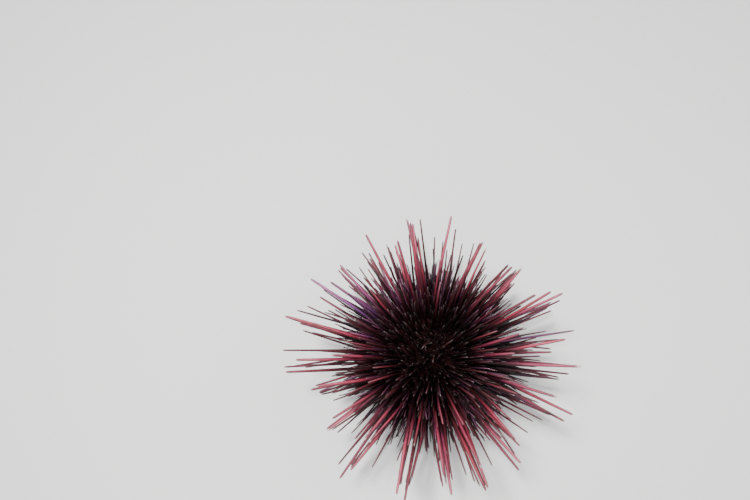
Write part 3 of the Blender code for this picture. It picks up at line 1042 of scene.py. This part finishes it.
def buildSpines():
    material = spineMaterial()
    everySpine = allSpines()
    shortBase = lie["shortBaseRadius"]
    longOnes = [spine for spine in everySpine if spine.baseRadius > shortBase]
    for group, level in zip(leadingSpines(longOnes), tones["leadLevels"]):
        for spine in group:
            spine.leading = max(spine.leading, level)
    for spine in sorted(longOnes, key=tipBearing)[::2]:
        spine.between = True
    groups = {
        "long": longOnes,
        "short": [spine for spine in everySpine if spine.baseRadius <= shortBase],
        "medium": finerSpines("medium", longOnes) + discFinerSpines("medium"),
        "fine": finerSpines("fine", longOnes) + discFinerSpines("fine") + rimFinerSpines(),
    }
    coats = (
        (("long",), spineShape, spineTemplate(spineShape)),
        (("short", "medium", "fine"), finerShape, spineTemplate(finerShape)),
    )
    draw = random.Random(tones["seed"])
    owners = [name for name, bearing, width in fieldList()]
    for owner in owners + ["apical_disc"]:
        for kinds, shape, template in coats:
            piece = emptyPiece()
            for kind in kinds:
                for spine in groups[kind]:
                    if spine.owner == owner:
                        addSpine(piece, template, shape, spine, kind, draw)
            if len(piece.verts):
                pieceFrom(piece, f"{owner}_{kinds[0]}_spines", material)
            else:
                piece.free()
        print("spines on", owner)
    for kinds, shape, template in coats:
        bpy.data.meshes.remove(template)


# The skin over the test, with the sutures between and along its fields, and fine wrinkles
skinLook = {
    "depth": 0.25 * mm,          # of the skin inside the solids' surface
    "rings": 150,
    "steps": 300,
    "edges": (0.96, 0.97),       # share of the disc's and the mouth's radius where it tucks under
    "tuck": 1 * mm,
    "back": 1.5 * mm,            # from there to where it closes on the axis
    "wrinkleScale": 700,
    "wrinkle": 0.22 * mm,
    "suture": 0.25 * mm,
    "sutureWidth": 0.5 * mm,
    "highest": 0.15 * mm,
    "lowered": 0.1 * mm,
}


def buildSkin():
    look = skinLook
    top, bottom = edgeColatitudes()
    points = []
    for n in range(look["rings"] + 1):
        colatitude = top + (bottom - top) * n / look["rings"]
        radius, height = radiusAndHeight(colatitude)
        rise = math.radians(surfaceRise(colatitude))
        points.append((radius - look["depth"] * math.cos(rise), height - look["depth"] * math.sin(rise)))
    discEdge, mouthEdge = look["edges"]
    points[0] = (test["discRadius"] * discEdge, points[0][1] - look["tuck"])
    points[-1] = (test["mouthRadius"] * mouthEdge, points[-1][1] + look["tuck"])
    points = [(0, points[0][1] - look["back"])] + points + [(0, points[-1][1] + look["back"])]
    skin = turnedShape(points, look["steps"])
    skin.normal_update()
    for vert in skin.verts:
        radius = reachOf(vert.co)
        if radius < test["discRadius"]:
            continue
        bearing = bearingOf(vert.co)
        name, middle, width = fieldAt(bearing)
        across = math.radians(abs(turnBetween(bearing, middle))) * radius
        edge = math.radians(width / 2) * radius - across
        dent = wrinkle(vert.co, look["wrinkleScale"]) * look["wrinkle"]
        dent -= look["suture"] * math.exp(-(min(across, edge) / look["sutureWidth"]) ** 2)
        vert.co += vert.normal * (min(dent, look["highest"]) - look["lowered"])
    piece = pieceFrom(skin, "test_skin", skinMaterial())
    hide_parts(*[name for name, bearing, width in fieldList()])
    print("skin done")


# Tube feet: thin and wavy, in two columns along each ambulacrum, with a sucker at each end
tubeFeet = {
    "seed": 41,
    "perColumn": 28,
    "columnTurn": 7.5,           # degrees from the ambulacrum's middle
    "columnSpread": 1.2,
    "colatitudes": (34, 150),
    "places": (0.1, 0.9),        # of the room that each has along its column
    "spread": 22,
    "lengths": (12 * mm, 30 * mm),
    "leastLength": 5 * mm,
    "floorRoom": 3 * mm,
    "radius": 0.23 * mm,
    "sides": 6,
    "stations": (0, 0.14, 0.3, 0.46, 0.62, 0.78, 0.95, 1),
    "thickness": (1.9, 1.25, 1.1, 1.0, 0.92, 0.88, 0.9, 2.0),
    "wave": 0.09,                # of a foot's length
    "turns": (2.2, 2.9),         # radians that the wave runs through, across and up
    "sink": 0.5 * mm,
    "lowest": 0.5 * mm,
    "patch": (0.003, 0.006),
}


def addTubeFoot(piece, template, root, way, length, phase):
    look = tubeFeet
    turn = way.to_track_quat("Z", "Y").to_matrix()
    across, up = look["turns"]
    corners = stamped(piece, template, root, look["patch"])
    layers = piece.verts.layers.float
    for vert in corners:
        station = int(round(vert[layers["station"]]))
        t = look["stations"][station]
        thick = look["thickness"][station] * look["radius"]
        sway = Vector((
            math.sin(phase + across * t) - math.sin(phase),
            math.cos(phase + up * t) - math.cos(phase), 0,
        ))
        local = Vector((vert.co.x * thick, vert.co.y * thick, t * length - look["sink"]))
        vert.co = root + turn @ (local + sway * (look["wave"] * length))
        vert.co.z = max(vert.co.z, look["lowest"])
        vert[layers["along"]] = t


def buildTubeFeet():
    look = tubeFeet
    template = spineTemplate(look)
    material = tubeFootMaterial()
    draw = random.Random(look["seed"])
    low, high = look["colatitudes"]
    for number, plate in enumerate(plateBearings()):
        middle = plate - 180 / fields["count"]
        piece = emptyPiece()
        for column in (-1, 1):
            for n in range(look["perColumn"]):
                colatitude = low + (high - low) * (n + draw.uniform(*look["places"])) / look["perColumn"]
                bearing = middle + column * (look["columnTurn"] + swing(draw, look["columnSpread"]))
                root = surfacePoint(colatitude, bearing)
                way = wayOut(colatitude, bearing, draw, look["spread"])
                length = draw.uniform(*look["lengths"])
                if way.z < 0:
                    length = min(length, (root.z - look["floorRoom"]) / -way.z)
                if length >= look["leastLength"]:
                    addTubeFoot(piece, template, root, way, length, draw.uniform(0, math.tau))
        pieceFrom(piece, f"ambulacrum_{number + 1}_tube_feet", material)
    bpy.data.meshes.remove(template)
    print("tube feet done")


# The plates at the top: five large ones, one of them the sieve, and five small ones
discLook = {
    "depth": 2 * mm,
    "edgeWidth": 0.4 * mm,
    "edgeHeight": 0.3 * mm,
    "crown": 0.6 * mm,           # height of the ring round the vent
    "crownWidth": 0.9 * mm,
    "ventEdge": 0.2 * mm,
    "ventDepth": 1.2 * mm,
    "steps": 90,
    "plateCircle": 7.6 * mm,
    "plateRadius": 2.9 * mm,
    "sieveRadius": 3.3 * mm,
    "eyeCircle": 9.5 * mm,
    "eyeRadius": 1.5 * mm,
    "plateTop": 0.86,            # of a plate's radius
    "plateHeight": 1.5 * mm,
    "plateLift": 0.15 * mm,
    "plateSides": 6,
    "plateEdge": (0.25 * mm, 2),    # width and segments of its rounding
}


def buildDisc():
    look, outer, vent = discLook, test["discRadius"], ventLook["radius"]
    bottom, ventBottom = rimHeight - look["depth"], rimHeight - look["ventDepth"]
    disc = turnedShape([
        (0, bottom), (outer, bottom), (outer, rimHeight - look["edgeHeight"]),
        (outer - look["edgeWidth"], rimHeight), (vent + look["crownWidth"], rimHeight + look["crown"]),
        (vent, rimHeight + look["ventEdge"]), (vent, ventBottom), (0, ventBottom),
    ], look["steps"])
    for number, bearing in enumerate(plateBearings()):
        for circle, radius, turn in (
            (look["plateCircle"], look["plateRadius" if number else "sieveRadius"], 0),
            (look["eyeCircle"], look["eyeRadius"], 180 / fields["count"]),
        ):
            place = heading(bearing + turn) * circle + Vector((0, 0, rimHeight + look["plateLift"]))
            matrix = Matrix.Translation(place) @ Matrix.Rotation(math.radians(bearing + turn), 4, "Z")
            top, height = radius * look["plateTop"], look["plateHeight"]
            edges = addCone(disc, look["plateSides"], radius, top, height, matrix)
            roundEdges(disc, edges, *look["plateEdge"])
    material = limeMaterial("disc_plates", plateFinish)
    piece = pieceFrom(disc, "disc_plates", material, sharpAngle=40)
    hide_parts("apical_disc")
    print("disc done")


# The skin over the vent, a low cushion of lumps in the middle of the disc
ventLook = {
    "radius": 4.2 * mm,
    "fit": 0.97,                 # of that radius
    "sink": 1.1 * mm,
    "height": 1.9 * mm,
    "lumps": 0.12,
    "lumpScale": 4.5,
}


def buildVent():
    look = ventLook
    vent = bmesh.new()
    bmesh.ops.create_icosphere(vent, subdivisions=5, radius=1)
    for vert in vent.verts:
        direction = vert.co.normalized()
        lump = noise.voronoi(direction * look["lumpScale"])[0][0]
        size = 1 + look["lumps"] * (0.5 - lump)
        vert.co = Vector((
            direction.x * look["radius"] * look["fit"] * size,
            direction.y * look["radius"] * look["fit"] * size,
            rimHeight - look["sink"] + direction.z * look["height"] * size,
        ))
    piece = pieceFrom(vent, "vent_skin", skinMaterial())
    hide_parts("periproct")
    print("vent done")


# The skin round the mouth, with its ten short feet, and the lip that the teeth come out of
mouthLook = {
    "sag": 1 * mm,
    "rings": 40,
    "steps": 180,
    "fold": 0.18 * mm,
    "foldTurns": 40,             # radians that the folds' wave runs through, from rim to lip
    "lowered": 0.05 * mm,
    "innerRooms": (0.4 * mm, 0.3 * mm),     # round the lip: of the skin, and of its hidden back
    "backs": (4 * mm, 2.5 * mm),            # heights of that back, at the rim and at the lip
    "wrinkleScale": 500,
    "wrinkle": 0.3 * mm,
    "smoothEdges": (1 * mm, 0.5 * mm),      # without wrinkles: round the lip, and along the rim
    "wrinkleTop": 1 * mm,
    "footCircle": 12 * mm,
    "footTurn": 9,
    "footLength": 5 * mm,
    "footRadius": 0.9 * mm,
    "footTip": 0.7,              # of that radius
    "footSides": 12,
    "footEdge": (0.3 * mm, 3),
    "lipRadius": 5.5 * mm,
    "lipProfile": (              # shares of the lip's radius, and heights in mm
        (0, 2), (1, 2), (1, -0.5), (0.92, -1), (0.72, -1.15), (0.5, -0.7), (0.3, 0.8), (0, 1.2),
    ),
    "lipSteps": 60,
    "lipFold": 0.25 * mm,
    "lipFolds": 15,
}


def mouthSkinShape():
    look = mouthLook
    outer, inner = test["mouthRadius"], look["lipRadius"]
    room, backRoom = look["innerRooms"]
    back, innerBack = [mouthHeight + height for height in look["backs"]]
    points = [(0, back), (outer, back)]
    for n in range(look["rings"] + 1):
        t = n / look["rings"]
        fold = look["fold"] * math.sin(t * look["foldTurns"])
        height = mouthHeight - look["sag"] * t + fold - look["lowered"]
        points.append((outer + (inner + room - outer) * t, height))
    points += [(inner + backRoom, innerBack), (0, innerBack)]
    made = turnedShape(points, look["steps"])
    lipEdge, rimEdge = look["smoothEdges"]
    for vert in made.verts:
        isSkin = vert.co.z < mouthHeight + look["wrinkleTop"]
        if isSkin and inner + lipEdge < reachOf(vert.co) < outer - rimEdge:
            vert.co.z += wrinkle(vert.co, look["wrinkleScale"]) * look["wrinkle"]
    return made


def addMouthFeet(skin):
    look = mouthLook
    radius, length = look["footRadius"], look["footLength"]
    for plate in plateBearings():
        for side in (-1, 1):
            way = heading(plate + 180 / fields["count"] + side * look["footTurn"])
            place = way * look["footCircle"] + Vector((0, 0, mouthHeight - length / 2))
            matrix = Matrix.Translation(place)
            tip = radius * look["footTip"]
            edges = addCone(skin, look["footSides"], tip, radius, length, matrix)
            low = [edge for edge in edges if all(vert.co.z < place.z for vert in edge.verts)]
            roundEdges(skin, low, *look["footEdge"])


def buildMouth():
    look, material = mouthLook, mouthMaterial()
    skin = mouthSkinShape()
    addMouthFeet(skin)
    piece = pieceFrom(skin, "mouth_skin", material, sharpAngle=60)
    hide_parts("peristome")
    profile = [(share * look["lipRadius"], mouthHeight + up * mm) for share, up in look["lipProfile"]]
    lip = turnedShape(profile, look["lipSteps"])
    for vert in lip.verts:
        if vert.co.z < mouthHeight:
            bearing = math.atan2(vert.co.y, vert.co.x)
            vert.co.z += look["lipFold"] * math.sin(bearing * look["lipFolds"])
    lipPiece = pieceFrom(lip, "mouth_lip", material)
    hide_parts("teeth")
    print("mouth done")


# Five teeth, which lean together and curve
toothLook = {
    "sides": 8,
    "cuts": 5,
    "circle": 3.3 * mm,
    "rootHeight": 1.5 * mm,      # over the mouth's skin
    "length": 6.6 * mm,
    "lean": 4.2 * mm,            # of a tip towards the middle, before its curve
    "curve": 0.35,
    "width": 1.25 * mm,
    "thickness": 0.8 * mm,
    "tip": 0.3,
}


def buildTeeth():
    look = toothLook
    tooth = bmesh.new()
    addTube(tooth, look["sides"], look["tip"], look["cuts"])
    for vert in tooth.verts:
        t = vert.co.z
        lean = look["lean"] * (t - look["curve"] * t * t)
        vert.co.x = vert.co.x * look["thickness"] + look["circle"] - lean
        vert.co.y *= look["width"]
        vert.co.z = mouthHeight + look["rootHeight"] - t * look["length"]
    toothMesh = meshFrom(tooth, "tooth")
    jaw = bmesh.new()
    for bearing in plateBearings():
        first = len(jaw.verts)
        jaw.from_mesh(toothMesh)
        jaw.verts.ensure_lookup_table()
        turn = Matrix.Rotation(math.radians(bearing), 3, "Z")
        bmesh.ops.rotate(jaw, verts=jaw.verts[first:], cent=(0, 0, 0), matrix=turn)
    bpy.data.meshes.remove(toothMesh)
    bmesh.ops.recalc_face_normals(jaw, faces=jaw.faces)
    material = limeMaterial("teeth", toothFinish)
    piece = pieceFrom(jaw, "jaw_teeth", material, sharpAngle=50)
    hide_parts("teeth")
    print("teeth done")


# Floor, lights and camera
studio = {
    "floorRadius": 5,
    "floorSides": 96,
    "floorColour": (0.78, 0.77, 0.76),
    "floorRoughness": 0.75,
    "worldColour": (0.92, 0.95, 1),
    "worldStrength": 0.3,
    "lights": (                  # place, size and power of each
        ("key", (-0.26, 0.16, 1.1), 0.3, 25),
        ("fill", (0.75, 0.1, 0.65), 0.5, 4),
        ("rim", (-0.1, -0.85, 0.5), 0.5, 3),
    ),
}


def buildStudio():
    shape = bmesh.new()
    sides, radius = studio["floorSides"], studio["floorRadius"]
    bmesh.ops.create_circle(shape, cap_ends=True, segments=sides, radius=radius)
    floor = placed("floor", meshFrom(shape, "floor"))
    material = newMaterial("pale_floor", studio["floorRoughness"])
    shader = material.node_tree.nodes["Principled BSDF"]
    shader.inputs["Base Color"].default_value = (*studio["floorColour"], 1)
    floor.data.materials.append(material)
    world = bpy.data.worlds.new("studio")
    bpy.context.scene.world = world
    world.use_nodes = True
    background = world.node_tree.nodes["Background"]
    background.inputs["Color"].default_value = (*studio["worldColour"], 1)
    background.inputs["Strength"].default_value = studio["worldStrength"]
    for name, place, size, power in studio["lights"]:
        light = bpy.data.lights.new(name, "AREA")
        light.shape = "DISK"
        light.size = size
        light.energy = power
        lamp = placed(name, light)
        lamp.location = place
        lamp.rotation_euler = Vector(place).to_track_quat("Z", "Y").to_euler()
    print("studio done")


camera = {
    "lens": 25,
    "sensor": 36,
    "clipStart": 10 * mm,
    "elevation": 80,
    "distance": 0.458,
    "focus": (0, 0, 45 * mm),
    "pictureSize": (750, 500),   # pixels
    "urchinMiddle": (431, 353),
}


def buildCamera():
    made = bpy.data.cameras.new("camera")
    made.lens = camera["lens"]
    made.sensor_width = camera["sensor"]
    made.clip_start = camera["clipStart"]
    width, height = camera["pictureSize"]
    x, y = camera["urchinMiddle"]
    made.shift_x = (width / 2 - x) / width
    made.shift_y = (y - height / 2) / width
    holder = placed("camera", made)
    away = heading(-90, camera["elevation"])
    holder.location = Vector(camera["focus"]) + away * camera["distance"]
    holder.rotation_euler = away.to_track_quat("Z", "Y").to_euler()
    bpy.context.scene.camera = holder


buildStudio()
buildCamera()
buildSkin()
buildSpines()
buildTubeFeet()
buildDisc()
buildVent()
buildMouth()
buildTeeth()
